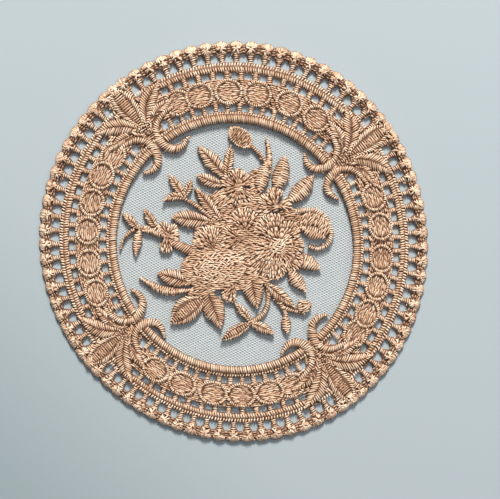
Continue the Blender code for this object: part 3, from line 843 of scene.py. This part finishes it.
# %% Their forms
SPRAY_LEAVES = (
    ((0.8, 41.6), (12.8, 45.2), 4, 2, 0.5),
    ((0.8, 43.4), (13, 51.9), 5.2, 2, 0.52),
    ((0, 42.6), (0, 59.6), 7, 0, 0.61),
)
ARCH_ROUTE = ((1.3, 39), (2.4, 41.3), (4.2, 42.9), (6.8, 43.7), (9.2, 43.8), (11.2, 43.5))
ARCH_WIDTHS = (2.2, 2.1, 2, 1.8, 1.4, 0.7)
TAIL_ROUTE = ((1.3, 39.2), (1.9, 35.6), (3.6, 33.3), (6.2, 32.8), (9, 33.9))
TAIL_WIDTHS = (3.2, 2.8, 2.5, 2, 0.7)
MEDALLION_SHARES = (0.177, 0.273, 0.396, 0.517, 0.656, 0.787)
MEDALLION_RADIUS, MEDALLION_ACROSS, MEDALLION_ALONG = 45.4, 3.9, 4.55

medallions = [Oval(polar(MEDALLION_RADIUS, mix(*quarter, share)), MEDALLION_ALONG, MEDALLION_ACROSS,
                   mix(*quarter, share) + 90) for quarter in QUARTERS for share in MEDALLION_SHARES]
spray_leaves, spray_cords = [], []
for heading, lifts in SPRAYS:
    for side, lift in zip((1, -1), lifts):
        for base, tip, width, bend, belly in SPRAY_LEAVES:
            ends = [turned((across * side, out), heading) for across, out in (base, tip)]
            if side == 1 or bend:
                spray_leaves.append(Leaf(*ends, width, bend * side, belly))
        tail = [TAIL_ROUTE[0]] + [(across, out + lift) for across, out in TAIL_ROUTE[1:]]
        for route, widths in ((ARCH_ROUTE, ARCH_WIDTHS), (tail, TAIL_WIDTHS)):
            points = [turned((across * side, out), heading) for across, out in route]
            spray_cords.append(Ribbon(points, widths))
print("leaves", len(spray_leaves), "cords", len(spray_cords), "medallions", len(medallions))


def outside(forms):
    """A test of whether a point lies outside all of some forms."""
    hidden = loop_test([form.outline() for form in forms])
    return lambda x, y: not hidden(x, y)


free_of_sprays, free_of_medallions = outside(spray_leaves + spray_cords), outside(medallions)


def sew_in_order(layers, works):
    """Sew each form, except where a later one lies on it."""
    for place, (form, way, low, rise, tone) in enumerate(layers):
        works[way].clear = outside([later for later, *_ in layers[place + 1:]])
        getattr(form, way)(works[way], low, rise, tone)
    for work in dict.fromkeys(works.values()):
        work.sew(rose_thread)


# %% Sew medallions, leaves and cords
# Height of the holes, rise of the arch, and tone
MEDALLION_SEWING, SPRAY_LEAF_SEWING, CORD_SEWING = (1.15, 0.9, 0.58), (1.1, 1.05, 0.6), (1.1, 1.0, 0.64)

layers = [(form, "ringed", *MEDALLION_SEWING) for form in medallions]
layers += [(form, "veined" if form.bend else "bordered", *SPRAY_LEAF_SEWING) for form in spray_leaves]
layers += [(form, "satin", *CORD_SEWING) for form in spray_cords]
leaf_work = Needlework("leaf_sprays", lie)
spray_work = {"ringed": Needlework("medallions", lie), "bordered": leaf_work, "veined": leaf_work,
              "satin": Needlework("spray_cords", lie)}
sew_in_order(layers, spray_work)

# %% [markdown]
# ## Ring, braid and ground rows
# The ring over the net's edge is a satin cord with a low row of short stitches beside it. The braid
# outside the medallions is two rows of short stitches that lean against each other. What is left between the
# forms is covered with small stitches along the round.

# %% Rows round the coaster
ROUND = 360.0
ROW_MIDDLE, ROW_THREAD = 52.0, 0.52


def row_of(work, inner, outer, pitch, slant, low, rise, tone, shift, painted_end_light):
    """A row of stitches that cross from one radius to another, all the way round."""
    middle = (inner + outer) / 2
    count = round(2 * math.pi * ROW_MIDDLE / pitch)
    for place in range(count):
        heading = ROUND * (place + shift) / count
        start = polar(inner, heading - math.degrees(slant / 2 / middle))
        end = polar(outer, heading + math.degrees(slant / 2 / middle))
        work.stitch(start, end, low, rise, ROW_THREAD, tone, painted_end_light=painted_end_light)


# Inner and outer radius, pitch, slant, height of the holes, rise, tone, shift and painted light at the far
# end
RING_ROWS = (
    (36.5, 39.0, 0.92, 0.35, 1.25, 1.1, 0.60, 0.0, -EDGE_PAINTED_LIGHT),
    (38.75, 39.75, 1.05, -0.3, 1.15, 0.5, 0.66, 0.5, 0.0),
)
BRAID_ROWS = (
    (51.2, 52.8, 0.76, 0.35, 1.0, 0.5, 0.62, 0.0, -EDGE_PAINTED_LIGHT / 2),
    (52.7, 53.95, 0.82, -0.3, 0.9, 0.42, 0.72, 0.5, 0.0),
)
ring, braid = Needlework("ring_cord", lie, free_of_sprays), Needlework("braid", lie, free_of_sprays)
for work, rows in ((ring, RING_ROWS), (braid, BRAID_ROWS)):
    for row in rows:
        row_of(work, *row)
    work.sew(rose_thread)

# %% Ground stitches between the forms
FILL_FROM, FILL_TO, FILL_STEP, FILL_PITCH = 40.6, 51.0, 0.6, 1.15
FILL_HALF, FILL_SLANT = 0.75, 0.2
# Height of the holes, rise of the arch, thread and tone
FILL_SEWING = (0.75, 0.55, THREAD, 0.52)
POST_SEWING = (0.75, 0.5, FINE_THREAD, 0.62)
WRAP_SEWING = (0.8, 0.55, FINE_THREAD, 0.64)

filling = Needlework("ground_stitches", lie)
radius = FILL_FROM
while radius < FILL_TO:
    count = round(2 * math.pi * radius / FILL_PITCH)
    for place in range(count):
        heading = ROUND * (place + dice.uniform(0, 0.5)) / count
        half = math.degrees(FILL_HALF / radius)
        shift = either_way(FILL_SLANT)
        start, end = polar(radius + shift, heading - half), polar(radius - shift, heading + half)
        middle = polar(radius, heading)
        taken = any(in_gap(*point) for point in (start, middle, end))
        if not taken and free_of_medallions(*middle) and free_of_sprays(*middle):
            filling.stitch(start, end, *FILL_SEWING)
    radius += FILL_STEP

# %% Wound posts between the small gaps
POST_HALF, POST_PITCH, POST_LEAN, POST_BEFORE, POST_PAST = 0.75, 0.55, 0.12, 0.1, 0.2


def sew_across(work, heading, out, half, lean, sewing):
    """A stitch across a post or stem, that slants a little."""
    start, end = (turned((side * half, out + side * lean), heading) for side in (-1, 1))
    work.stitch(start, end, *sewing)


filling.clear = free_of_sprays
for quarter in QUARTERS:
    for row in (LADDER_OUTER, LADDER_INNER):
        for place in range(row["count"] + 1):
            share = mix(row["first"], row["last"], (place - 0.5) / (row["count"] - 1))
            out = row["inner"] - POST_BEFORE
            while out < row["outer"] + POST_PAST:
                sew_across(filling, mix(*quarter, share), out, POST_HALF, POST_LEAN, POST_SEWING)
                out += POST_PITCH
filling.sew(rose_thread)

# %% [markdown]
# ## The edging
# Eighty-four small heads close the rim, all but the sprays' four on a thin wound stem. A head is a
# little knot: its stitches run out of the middle in all directions, and others lie side by side down
# its outer end.

# %% Heads and stems
HEAD_TIP, SLOPE_STRANDS, SLOPE_TONE = 60.25, 9, 0.58
SLOPE_TOP, SLOPE_HALF, TIP_HALF, TIP_ROUND, SLOPE_BOW = 58.3, 1.5, 1.15, 0.4, -0.2
SLOPE_LOW, SLOPE_FALL, SLOPE_RISE, TIP_LOW = 1.6, 0.3, 0.5, 0.45
KNOT_MIDDLE, KNOT_CORE, KNOT_REACH, KNOT_STITCHES = 57.95, 0.8, 1.7, 12
KNOT_TWIST, KNOT_TURN, KNOT_TONES, KNOT_LENGTHS = 1.1, 0.3, (0.54, 0.82), (0.78, 1.08)
KNOT_LOW, KNOT_RISE, KNOT_END, KNOT_THREAD = 1.75, 0.42, 1.3, mix(FINE_THREAD, THREAD, 0.6)
STEM_WRAPS, WRAP_LEAN = ((54.1, 0.75), (54.7, 0.7), (55.3, 0.7), (55.9, 0.85), (56.5, 1.1)), 0.12
VALLEY_ROWS, VALLEY_LEAN = ((57.1, 0.6, 1.05), (57.8, 0.45, 1.3), (58.5, 0.4, 1.2)), 0.1
# The valley stitches' low tone is painted shade between the heads.
VALLEY_RISE, VALLEY_SHADE_TONE = 0.35, 0.40

heads = Needlework("edging_heads", lie)


def sew_head(heading):
    """The slope at the outer end of one head, and the knot of stitches on its crest."""
    for place in range(SLOPE_STRANDS):
        side = 2 * place / (SLOPE_STRANDS - 1) - 1
        start = turned((side * SLOPE_HALF, SLOPE_TOP), heading)
        end = turned((side * TIP_HALF, HEAD_TIP - TIP_ROUND * side * side), heading)
        heads.stitch(start, end, SLOPE_LOW - SLOPE_FALL * side * side, SLOPE_RISE, tone=SLOPE_TONE,
                     end_low=TIP_LOW, bow=SLOPE_BOW * side)
    for place in range(KNOT_STITCHES):
        ray = 2 * math.pi * (place + either_way(KNOT_TURN)) / KNOT_STITCHES
        far = ray + either_way(KNOT_TWIST)
        core, reach = either_way(KNOT_CORE), KNOT_REACH * dice.uniform(*KNOT_LENGTHS)
        start = turned((core * math.sin(ray), KNOT_MIDDLE + core * math.cos(ray)), heading)
        end = turned((reach * math.sin(far), KNOT_MIDDLE + reach * math.cos(far)), heading)
        heads.stitch(start, end, KNOT_LOW, KNOT_RISE, KNOT_THREAD, dice.uniform(*KNOT_TONES),
                     end_low=KNOT_END, painted_end_light=EDGE_PAINTED_LIGHT)


def sew_valley(heading):
    """Short stitches across the low place between two heads, toned darker as painted shade."""
    for out, half, low in VALLEY_ROWS:
        start, end = turned((-half, out), heading), turned((half, out + VALLEY_LEAN), heading)
        heads.stitch(start, end, low, VALLEY_RISE, tone=VALLEY_SHADE_TONE)


def sew_stem(heading):
    """A thin cord from the braid to the head, wound with fine thread."""
    for out, half in STEM_WRAPS:
        sew_across(heads, heading, out, half, WRAP_LEAN, WRAP_SEWING)


for quarter in QUARTERS:
    for repeat in range(1, REPEATS):
        sew_head(repeat_at(quarter, repeat))
        sew_stem(repeat_at(quarter, repeat))
    for repeat in range(REPEATS):
        sew_valley(repeat_at(quarter, repeat + 0.5))
for heading, _ in SPRAYS:
    sew_head(heading)
heads.sew(rose_thread)

# %% [markdown]
# ## The bouquet
# Leaves, stems and flowers are sewn from the lowest to the highest, as on the machine. Before a stitch
# is noted, its middle is tested against every form that comes later, so that nothing is sewn twice in
# one place and each form keeps a clean edge over its neighbours.

# %% Its forms
VEINED_LEAVES = (
    ((-15.2, 13), (-20.1, 20.3), 2.9, 0, 0.5),
    ((-15.3, 13), (-13.1, 18.8), 2.4, 0, 0.55),
    ((-14.9, 12.6), (-21.9, 12), 2.8, -1.2, 0.5),
    ((-6, 5.6), (-19.5, 7.3), 5.5, 0, 0.6),
    ((-4.2, 6), (-12.4, 16.5), 3.9, 0, 0.45),
    ((-29, 3.5), (-34.4, 8.7), 2.7, 0, 0.5),
    ((-23.7, 3.7), (-27.8, 9.9), 2.9, 0, 0.45),
    ((-2, 18.6), (-11.4, 29.1), 4.9, 0, 0.52),
    ((-2.6, 18.8), (-1.2, 29.3), 3.3, 0, 0.5),
    ((-2.6, 16.6), (-11.8, 20.1), 3.9, 0.3, 0.55),
    ((5, -12), (6.9, -20.7), 6.1, 0, 0.35),
    ((-8.2, -15.8), (-4.1, -26.8), 6.7, 0, 0.42),
    ((5.2, -24.8), (-0.1, -18.5), 2.6, 0, 0.5),
    ((4.6, -25), (12, -28.4), 3.3, 0.3, 0.5),
    ((9.2, -12.9), (18.4, -20.3), 3.9, 0, 0.45),
    ((-11.6, -13.4), (-23.7, -9.8), 5.2, 0, 0.6),
)
SMOOTH_LEAVES = (
    ((4.8, -24.9), (-4.2, -30.2), 3.7, 0, 0.45),
    ((-9.4, -17.6), (-19.4, -25.2), 8, -0.6, 0.5),
)
SATIN_LEAVES = (
    ((-28.8, 3.6), (-30.1, -4.6), 3, -0.3, 0.45),
    ((-20.6, 0.9), (-28.3, 3), 2.9, -0.9, 0.45),
    ((9.8, 18.6), (9.4, 31.9), 1.9, -0.9, 0.45),
    ((7.6, 14.6), (10.1, 24.7), 4.4, 0.5, 0.42),
    ((12.3, 14.8), (15.3, 26.1), 5.3, -0.3, 0.48),
    ((15.6, 11.2), (24, 20), 5.4, -0.5, 0.5),
    ((18.2, -5.2), (26.1, -8.7), 5, 0.3, 0.4),
    ((16.2, -8.8), (21.7, -15.6), 4.1, 0, 0.45),
    ((15.2, -22.9), (16.1, -28.2), 3.2, 0, 0.42),
    ((-12.6, -14.6), (-29.1, -10.7), 2.8, 2.5, 0.5),
)
STEMS = (
    (((-15.7, 12.9), (-12.1, 11), (-8.8, 8.5), (-5, 5.6)), (1.2, 1.6)),
    (((-24.6, 3.9), (-29.5, 4), (-32.6, 2.1), (-34.4, -0.6), (-34.9, -2.7)), (1.5, 0.6)),
    (((-20.5, 0.9), (-17.3, -1.3), (-12.7, -3.4)), (2.4, 3.2)),
    (((4.6, 29.3), (7.4, 26.5), (9.2, 24), (9.6, 20.7)), (1.2, 1.1)),
    (((10.1, -13.6), (10.1, -18.9), (8.3, -22.6), (4.2, -25.2)), (1.4, 1.6)),
    (((10.4, -14.6), (13.8, -18.9), (15.3, -21.7), (15.4, -24.6)), (1.7, 1.2)),
    (((14.2, -20.1), (18.1, -21.3), (21.4, -21.8)), (1.3, 1.3)),
)
BELL_LIP = (((19.8, 4.4), (27.6, 0.9), 4.2, -0.3, 0.5),)
CURL_ROUTE = ((18.3, 8.9), (23.9, 9.3), (27.9, 6.7), (29.4, 2.1), (28, -1.3), (25.1, -2.5), (22.3, -1.6))
BELL_CURL = ((CURL_ROUTE, (1.8, 1.2)),)
PETALS = (
    ((-20.4, 1.6), 118, 4.6, 58),
    ((-20.4, 1.6), 52, 4.2, 58),
    ((-20.6, 1.6), -8, 3.8, 60),
    ((-20.5, 2.6), -95, 6.5, 46),
    ((1, 16.2), 92, 5.9, 56),
    ((1, 16.2), 150, 5.8, 56),
    ((1, 16.2), 34, 5.6, 56),
    ((1, 16.2), 207, 5.9, 54),
    ((1, 16.2), 262, 5.6, 54),
    ((1, 16.2), 322, 5.8, 60),
    ((12.3, 10.4), 92, 6.1, 60),
    ((12.3, 10.4), 150, 5.9, 52),
    ((12.3, 10.4), 200, 5.6, 50),
    ((12.3, 10.4), 14, 5, 60),
    ((3.4, 3), 100, 7.3, 92),
    ((2.2, 0.9), 162, 6.7, 46),
    ((2.5, 0.9), 208, 7.6, 46),
    ((-6.6, -2.7), 118, 7.6, 100),
    ((0.4, -12.7), -118, 6.6, 54),
    ((13.2, -0.3), 118, 9.2, 84),
    ((13.8, -0.3), 50, 7.7, 62),
    ((13.8, -0.9), -8, 7.3, 62),
    ((13.2, -1.5), -48, 9.5, 54),
    ((12, -2.1), -88, 9.8, 50),
    ((12.6, -1.5), -130, 11, 60),
    ((12.4, -2), -150, 6.4, 100),
    ((13, -2), -50, 6.2, 100),
    ((12.8, -1.6), 84, 6, 150),
)
BEDS = (
    ((-4.6, 11), 5.2, 4.2, 30),
    ((5.4, 10.2), 5, 5, 0),
    ((6.3, 18.4), 2.6, 3.4, 0),
    ((2.8, 2.2), 6, 7.6, 0),
    ((16.4, 6.4), 3.8, 4, 0),
    ((1.6, -11.6), 10.6, 3.4, 6),
    ((-10, -15.2), 4.6, 2.6, 20),
    ((-7.4, 1.8), 5.4, 4.4, 0),
    ((-2.3, 7.3), 3.1, 3.6, 0),
    ((3.2, -6.5), 2.2, 2.4, 0),
    ((-11, -2.4), 2.9, 1.9, 0),
    ((12.2, -1.8), 5.8, 5.6, 0),
)
BUD = (((1.7, 31.4), 2.8, 4.3, 52),)
HEARTS = (
    ((-6.6, -8.3), 10.2, 6.6, 4),
    ((24, 4.7), 3.8, 4.9, 62),
    ((12.3, 10.2), 1.3, 1.3, 0),
    ((1, 16.2), 1.7, 1.7, 0),
    ((21, -19.9), 2.4, 1.9, 15),
)
ROSE_MIDDLES = (((-6.4, -8.1), 6.4, 4.3, 4), ((12.8, -1.6), 2.8, 2.4, 20))

# %% The order of work
# The form and its rows, how it is worked, the height of its holes, its rise and its tone
ORDER_OF_WORK = (
    (Oval, BEDS, "filled", 1.1, 0.7, 0.5),
    (Ribbon, STEMS, "satin", 1.05, 0.8, 0.58),
    (Leaf, VEINED_LEAVES, "veined", 1.15, 1.1, 0.58),
    (Leaf, SMOOTH_LEAVES, "bordered", 1.2, 1.0, 0.56),
    (Leaf, SATIN_LEAVES, "satin", 1.15, 1.1, 0.62),
    (Petal, PETALS, "fan", 1.25, 1.1, 0.58),
    (Oval, HEARTS, "filled", 1.4, 0.9, 0.58),
    (Oval, ROSE_MIDDLES, "mottled", 1.65, 0.7, 0.64),
    (Oval, BUD, "cupped", 1.2, 0.9, 0.5),
    (Leaf, BELL_LIP, "satin", 1.5, 1.0, 0.6),
    (Ribbon, BELL_CURL, "satin", 1.25, 0.9, 0.68),
)
layers = [(form(*row), *sewing) for form, rows, *sewing in ORDER_OF_WORK for row in rows]

bed_work, vein_work = Needlework("flower_beds", as_drawn), Needlework("veined_leaves", as_drawn)
bouquet_work = {"filled": bed_work, "cupped": bed_work, "mottled": bed_work,
                "veined": vein_work, "bordered": vein_work,
                "satin": Needlework("satin_leaves", as_drawn), "fan": Needlework("petals", as_drawn)}
sew_in_order(layers, bouquet_work)

# %% [markdown]
# ## Underlay
# A machine first lays loose stitches that hold the cloth, and they show wherever the top stitches part.
# Here they are set only where they would be seen: a fine grid marks what the top stitches cover, and each
# bare place on the ground gets one short stitch at the ground's own height.

# %% Find the bare places and cover them
GRID, COVER, GRID_HALF, STITCH_SAMPLES = 0.3, 0.33, 64.0, 9
UNDERLAY_LENGTH, UNDERLAY_RISE, UNDERLAY_TURN, UNDERLAY_TONE = 0.95, 0.12, 0.5, 0.44
ABOVE_ALL = 10.0


def covered_grid(works):
    """A grid over the coaster, true where a stitch lies near."""
    cells = int(2 * GRID_HALF / GRID)
    grid = np.zeros((cells, cells), bool)
    for work in works:
        rows = np.array(work.stitches)
        for share in np.linspace(0.0, 1.0, STITCH_SAMPLES):
            x, y = (rows[:, first] + (rows[:, first + 3] - rows[:, first]) * share for first in (0, 1))
            for dx, dy in ((0, 0), (COVER, 0), (-COVER, 0), (0, COVER), (0, -COVER)):
                row, column = (((place + GRID_HALF) / GRID).astype(int) for place in (y + dy, x + dx))
                grid[row, column] = True
    return grid


def lay_under(name, ground, grid):
    """Short stitches on every bare place of a ground sheet."""
    tree = BVHTree.FromObject(ground, bpy.context.evaluated_depsgraph_get())
    work = Needlework(name, as_drawn)
    reach = int(UNDERLAY_LENGTH / 2 / GRID)
    for row, column in np.argwhere(~grid):
        if grid[row, column]:
            continue
        x, y = (column + 0.5) * GRID - GRID_HALF, (row + 0.5) * GRID - GRID_HALF
        spot = tree.ray_cast(on_table(x, y, ABOVE_ALL), Vector((0.0, 0.0, -1.0)))[0]
        if spot is None:
            continue
        turn = math.atan2(y, x) + math.pi / 2 + either_way(UNDERLAY_TURN)
        dx, dy = math.cos(turn) * UNDERLAY_LENGTH / 2, math.sin(turn) * UNDERLAY_LENGTH / 2
        work.stitch((x - dx, y - dy), (x + dx, y + dy), spot.z / MM, UNDERLAY_RISE, FINE_THREAD,
                    UNDERLAY_TONE)
        grid[row - 1:row + 2, column - reach:column + reach + 1] = True
    work.sew(rose_thread)
    return work


bpy.context.view_layer.update()
rim_works = [*dict.fromkeys(spray_work.values()), ring, braid, filling, heads]
bouquet_works = [*dict.fromkeys(bouquet_work.values())]
rim_works.append(lay_under("rim_underlay", rim_ground, covered_grid(rim_works)))
bouquet_works.append(lay_under("bouquet_underlay", bouquet_ground, covered_grid(bouquet_works)))

# %% [markdown]
# ## The net
# The net is hexagonal bobbin net, finer than a millimetre from cell to cell. Each side of a cell is a
# slim closed strand with three faces, low and wide, and all of them make one mesh.

# %% Strands of the net
NET_RADIUS, CELL, NET_FOOT, NET_RIDGE, STRAND = 37.2, 0.80, 0.10, 0.19, 0.25
NET_TURN, STRAND_TURNS, NET_MARGIN = math.radians(24.0), (90, 210, 330), 1.3


def hexagon_sides():
    """Both ends of every strand of a hexagonal net that fills the round."""
    reach = int(NET_RADIUS / CELL * NET_MARGIN)
    side = CELL / math.sqrt(3)
    starts, ends = [], []
    for row in range(-reach, reach + 1):
        for column in range(-reach, reach + 1):
            x = CELL * (column + (row % 2) / 2)
            y = side * 1.5 * row
            for angle in STRAND_TURNS:
                turn = math.radians(angle) + NET_TURN
                cos, sin = math.cos(NET_TURN), math.sin(NET_TURN)
                start = Vector((x * cos - y * sin, x * sin + y * cos - RING_DROP))
                end = start + Vector((math.cos(turn), math.sin(turn))) * side
                if all(point.length < edge_at(point) for point in (start, end)):
                    starts.append(start)
                    ends.append(end)
    return np.array(starts), np.array(ends)


def edge_at(point):
    """How far out the net reaches at a point's heading."""
    return math.hypot(*lie(*polar(NET_RADIUS, math.degrees(math.atan2(point.y, point.x)))))


def net_mesh():
    """The net as one mesh of closed three-sided strands."""
    starts, ends = hexagon_sides()
    run = ends - starts
    length = np.hypot(run[:, 0], run[:, 1])
    side = np.stack((-run[:, 1], run[:, 0]), 1) / length[:, None]
    rings = []
    for points in (starts, ends):
        for across, level in ((0.0, NET_RIDGE), (0.5, NET_FOOT), (-0.5, NET_FOOT)):
            flat = points + side * across * STRAND
            rings.append(np.concatenate((flat, np.full((len(points), 1), level)), 1))
    points = np.stack(rings, 1).reshape(-1, 3) * MM + np.array((CENTRE.x, CENTRE.y, 0.0))
    offsets = np.arange(len(starts))[:, None, None] * 6
    walls = np.array(((0, 1, 4, 3), (1, 2, 5, 4), (2, 0, 3, 5)))[None] + offsets
    caps = np.array(((0, 2, 1), (3, 4, 5)))[None] + offsets
    mesh = bpy.data.meshes.new("net_strands")
    mesh.from_pydata(points, [], walls.reshape(-1, 4).tolist() + caps.reshape(-1, 3).tolist())
    print("net strands:", len(starts), "triangles:", len(starts) * 8)
    return mesh


net = bpy.data.objects.new("net_strands", net_mesh())
net.data.materials.append(pale_net)
bpy.context.collection.objects.link(net)
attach(net, "root")
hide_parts("net_ground")

# %% [markdown]


# %% [markdown]
# ## Sizes
# ## Closing
# The scene is brought up to date. The stitches have to stay inside the model's size.

# %% Close
bpy.context.view_layer.update()
